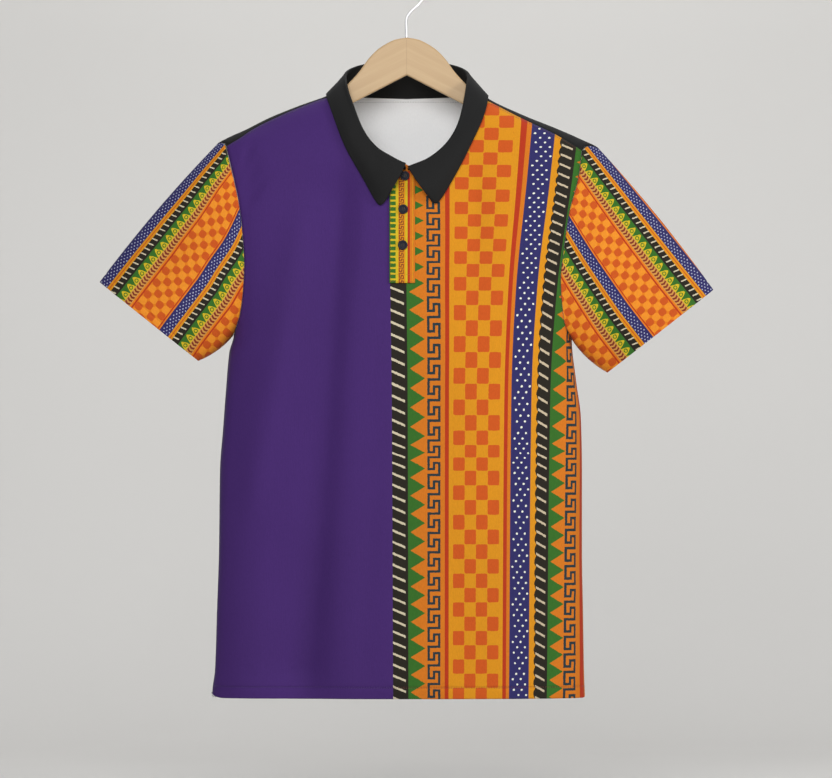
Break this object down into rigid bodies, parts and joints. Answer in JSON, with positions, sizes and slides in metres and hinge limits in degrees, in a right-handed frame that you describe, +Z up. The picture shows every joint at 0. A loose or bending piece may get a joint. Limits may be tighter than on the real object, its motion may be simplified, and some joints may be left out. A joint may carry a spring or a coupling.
{
  "type": "kente print polo shirt on a wooden hanger",
  "caption": "Short-sleeved polo shirt, half plain and half printed in kente bands, with a black collar and back, hanging on a flat wooden hanger",
  "frame": {"origin": "the inside top of the hanger's hook, on the shirt's middle plane, where a rail carries it", "axes": "+Z up, -Y out of the shirt's front, +X to the right of someone who looks at the front"},
  "size_m": [0.7364, 0.1342, 0.8801],
  "materials": {
    "front_cloth": "smooth knit, plain purple on one half and printed bands on the other",
    "back_cloth": "smooth knit, black outside and white inside",
    "sleeve_cloth": "smooth knit with printed bands",
    "collar_cloth": "fine rib knit, black",
    "placket_cloth": "smooth knit with printed stripes",
    "buttons": "satin, nearly black",
    "wood": "pale, lightly varnished",
    "wire": "bright"
  },
  "bodies": {
    "root": {"front": "front_cloth", "back": "back_cloth", "sleeve_left": "sleeve_cloth", "sleeve_right": "sleeve_cloth", "collar": "collar_cloth", "placket_over": "placket_cloth", "placket_under": "placket_cloth", "button_top": "buttons", "button_middle": "buttons", "button_low": "buttons", "hanger_wood": "wood", "hanger_hook": "wire"}
  },
  "joints": []
}
